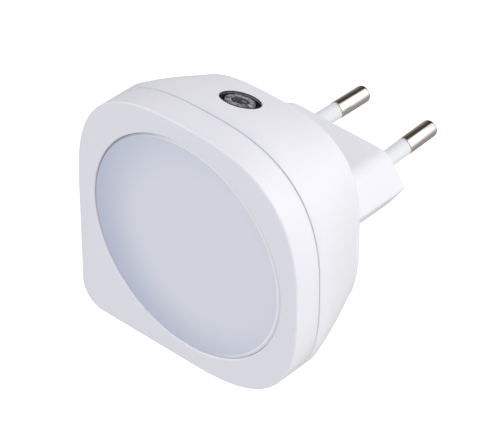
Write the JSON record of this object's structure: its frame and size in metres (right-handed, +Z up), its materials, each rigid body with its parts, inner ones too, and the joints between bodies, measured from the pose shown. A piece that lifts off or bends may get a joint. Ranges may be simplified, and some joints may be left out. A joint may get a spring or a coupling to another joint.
{
  "type": "plug-in night light",
  "caption": "Square-round plug-in night light with an opal round light panel, a dusk sensor on top and a flat two-pin plug block behind.",
  "frame": {"origin": "on the plug's engagement face, midway between the two pins", "axes": "+Y from the lamp's face into the socket, along the pins; +Z up; +X right seen from the front"},
  "size_m": [0.059, 0.0653, 0.059],
  "materials": {
    "white_housing": "moulded white ABS, soft gloss",
    "opal_panel": "opal diffusing plastic, satin",
    "white_tray": "reflective white moulding",
    "steel": "zinc-plated screws",
    "board": "white solder mask",
    "led": "phosphor in a white case",
    "clear_window": "clear polished plastic",
    "black_plastic": "black moulding",
    "photocell": "pale ceramic with a dark sensing track",
    "tinned_wire": "tinned copper",
    "film_capacitor": "epoxy box",
    "capacitor_can": "shrink sleeve on an aluminium can",
    "resistor_coat": "lacquer with colour bands",
    "fuse_coat": "cement coat",
    "plated_pin": "nickel-plated brass",
    "pin_sleeve": "white insulating sleeve",
    "brown_wire": "insulated wire",
    "blue_wire": "insulated wire"
  },
  "bodies": {
    "root": {"front_bezel": "white_housing", "diffuser": "opal_panel", "reflector": "white_tray", "board_screws": "steel", "circuit_board": "board", "leds": "led", "rear_housing": "white_housing", "sensor_window": "clear_window", "light_shield": "black_plastic", "photocell": "photocell", "photocell_leads": "tinned_wire", "dropper_capacitor": "film_capacitor", "smoothing_capacitor": "capacitor_can", "bridge_rectifier": "black_plastic", "resistors": "resistor_coat", "fuse_resistor": "fuse_coat", "transistor": "black_plastic", "pin_left": "plated_pin", "pin_right": "plated_pin", "sleeve_left": "pin_sleeve", "sleeve_right": "pin_sleeve", "pin_retainer": "black_plastic", "retainer_screw": "steel", "wire_live": "brown_wire", "wire_neutral": "blue_wire"}
  },
  "joints": []
}
